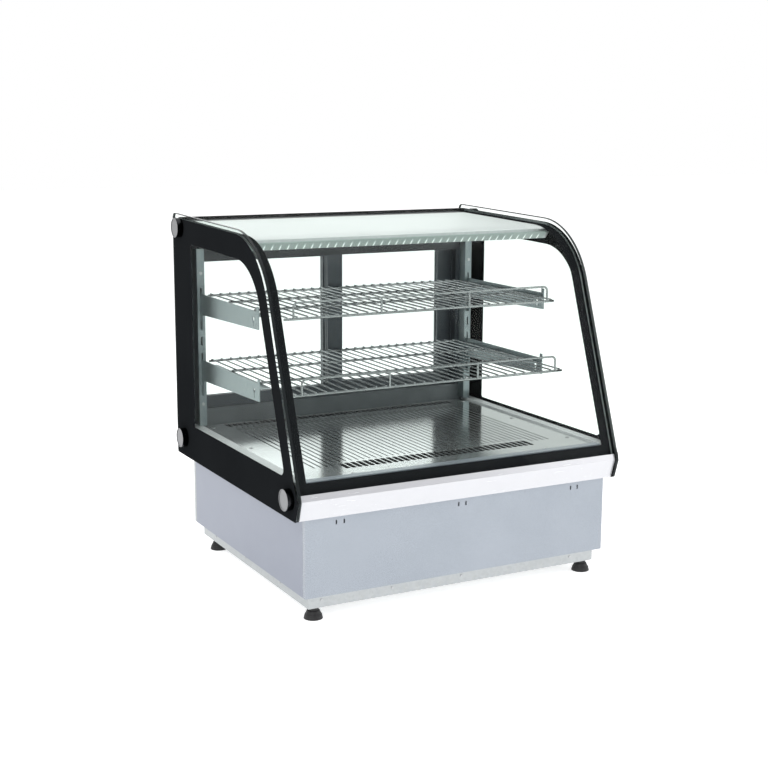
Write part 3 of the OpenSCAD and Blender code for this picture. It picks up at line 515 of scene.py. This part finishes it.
PRINT_OUT, PRINT_IN = 13.5, 13.9     # faces of the front glass's print, inside the side outline
PRINT_REAR_Y, PRINT_FOOT_Z, PRINT_LOW_TOP_Z = 284.5, 236.5, 263.0


def bent_path(inset):
    """Points of the bent sheet's line inset inside the side outline, from its rear edge to its foot"""
    pts = arc(BEND_C, BEND_R - inset, ROOF[0], FRONT[0], 60)
    back, down = unit(ROOF[0] - 90), unit(FRONT[0] + 90)
    t = (PRINT_REAR_Y - pts[0][0]) / back[0]
    s = (PRINT_FOOT_Z - pts[-1][1]) / down[1]
    first = (pts[0][0] + t * back[0], pts[0][1] + t * back[1])
    last = (pts[-1][0] + s * down[0], pts[-1][1] + s * down[1])
    return [first] + pts + [last]


def rake_point(inset, z):
    n = unit(FRONT[0])
    return ((FRONT[1] - inset - z * n[1]) / n[0], z)


def make_front_bands(looks):
    """Black printed borders of the front glass: down both ends and along its foot"""
    outer, inner = bent_path(PRINT_OUT), bent_path(PRINT_IN)
    for side, name in ((-1, "left_front_border"), (1, "right_front_border")):
        plate(name, outer, inner, side * (INNER_X - BORDER_W), side * (INNER_X - 0.1), looks["frit"],
              closed=False)
    low_out = [outer[-1], rake_point(PRINT_OUT, PRINT_LOW_TOP_Z)]
    low_in = [inner[-1], rake_point(PRINT_IN, PRINT_LOW_TOP_Z)]
    end = INNER_X - BORDER_W - 0.02
    plate("lower_front_border", low_out, low_in, -end, end, looks["frit"], closed=False)


# ---------------------------------------------------------------- stage, lights, camera

def make_stage():
    mesh = bpy.data.meshes.new("floor")
    half = 14.0
    mesh.from_pydata([(-half, -half, 0), (half, -half, 0), (half, half, 0), (-half, half, 0)], [],
                     [(0, 1, 2, 3)])
    obj = bpy.data.objects.new("floor", mesh)
    bpy.context.scene.collection.objects.link(obj)
    m, tree, out = new_material("floor_white")
    p = add(tree, "ShaderNodeBsdfPrincipled")
    tree.links.new(ramp(tree, noise(tree, object_coords(tree), 1.2, 2),
                        [(0.3, (0.90, 0.90, 0.90)), (0.7, (0.93, 0.93, 0.93))]), p.inputs["Base Color"])
    p.inputs["Roughness"].default_value = 0.9
    p.inputs["Specular IOR Level"].default_value = 0.1
    p.inputs["Emission Color"].default_value = WHITE
    p.inputs["Emission Strength"].default_value = 0.62
    tree.links.new(p.outputs["BSDF"], out.inputs["Surface"])
    mesh.materials.append(m)


def make_world():
    world = bpy.data.worlds.new("studio")
    bpy.context.scene.world = world
    world.use_nodes = True
    tree = world.node_tree
    tree.nodes.clear()
    out = tree.nodes.new("ShaderNodeOutputWorld")
    bg = tree.nodes.new("ShaderNodeBackground")
    tc = add(tree, "ShaderNodeTexCoord")
    sep = add(tree, "ShaderNodeSeparateXYZ")
    tree.links.new(tc.outputs["Generated"], sep.inputs[0])
    # White at the horizon, a darker band above it, lighter again overhead
    sky = [(0.0, (1, 1, 1)), (0.11, (1, 1, 1)), (0.30, (0.5, 0.5, 0.51)), (0.62, (0.42, 0.42, 0.43)),
           (0.95, (0.9, 0.9, 0.9))]
    tree.links.new(ramp(tree, sep.outputs[2], sky), bg.inputs["Color"])
    bg.inputs["Strength"].default_value = 1.0
    tree.links.new(bg.outputs[0], out.inputs["Surface"])


def area_light(name, size, power, location, target):
    data = bpy.data.lights.new(name, "AREA")
    data.shape = "RECTANGLE"
    data.size, data.size_y = size
    data.energy = power
    obj = bpy.data.objects.new(name, data)
    bpy.context.scene.collection.objects.link(obj)
    obj.location = location
    obj.rotation_mode = "QUATERNION"
    obj.rotation_quaternion = (Vector(target) - Vector(location)).to_track_quat("-Z", "Y")


def make_lights():
    area_light("key_light", (1.6, 1.2), 18, (-1.9, -1.6, 2.2), (0, 0, 0.4))
    area_light("fill_light", (1.8, 1.4), 13, (2.2, -1.8, 1.6), (0, 0, 0.35))
    area_light("top_light", (2.2, 2.2), 15, (0.2, 0.3, 2.8), (0, 0, 0.3))
    area_light("back_light", (2.0, 1.4), 9, (0.6, 2.4, 1.6), (0, 0, 0.4))


CAMERA_AT = (-1.3363, -2.4688, 0.9108)
CAMERA_YAW, CAMERA_PITCH, CAMERA_ROLL = 28.155, 10.989, 0.254


def make_camera():
    data = bpy.data.cameras.new("camera")
    data.lens, data.sensor_width = 65.4, 36.0
    data.clip_start, data.clip_end = 0.05, 60
    obj = bpy.data.objects.new("camera", data)
    bpy.context.scene.collection.objects.link(obj)
    yaw, pitch, roll = (math.radians(a) for a in (CAMERA_YAW, CAMERA_PITCH, CAMERA_ROLL))
    forward = Vector((math.sin(yaw) * math.cos(pitch), math.cos(yaw) * math.cos(pitch), -math.sin(pitch)))
    level = forward.cross(Vector((0, 0, 1))).normalized()
    upward = level.cross(forward)
    right = level * math.cos(roll) + upward * math.sin(roll)
    up = right.cross(forward)
    turn = Matrix((right, up, -forward)).transposed()
    obj.matrix_world = Matrix.Translation(CAMERA_AT) @ turn.to_4x4()
    bpy.context.scene.camera = obj


def make_scene():
    scene = bpy.context.scene
    scene.view_settings.view_transform = "Standard"
    make_camera()
    make_stage()
    make_world()
    make_lights()
    looks = make_materials()
    dress_nodes(looks)
    make_frits(looks)
    make_front_bands(looks)
    make_edge_lines(looks)


make_scene()
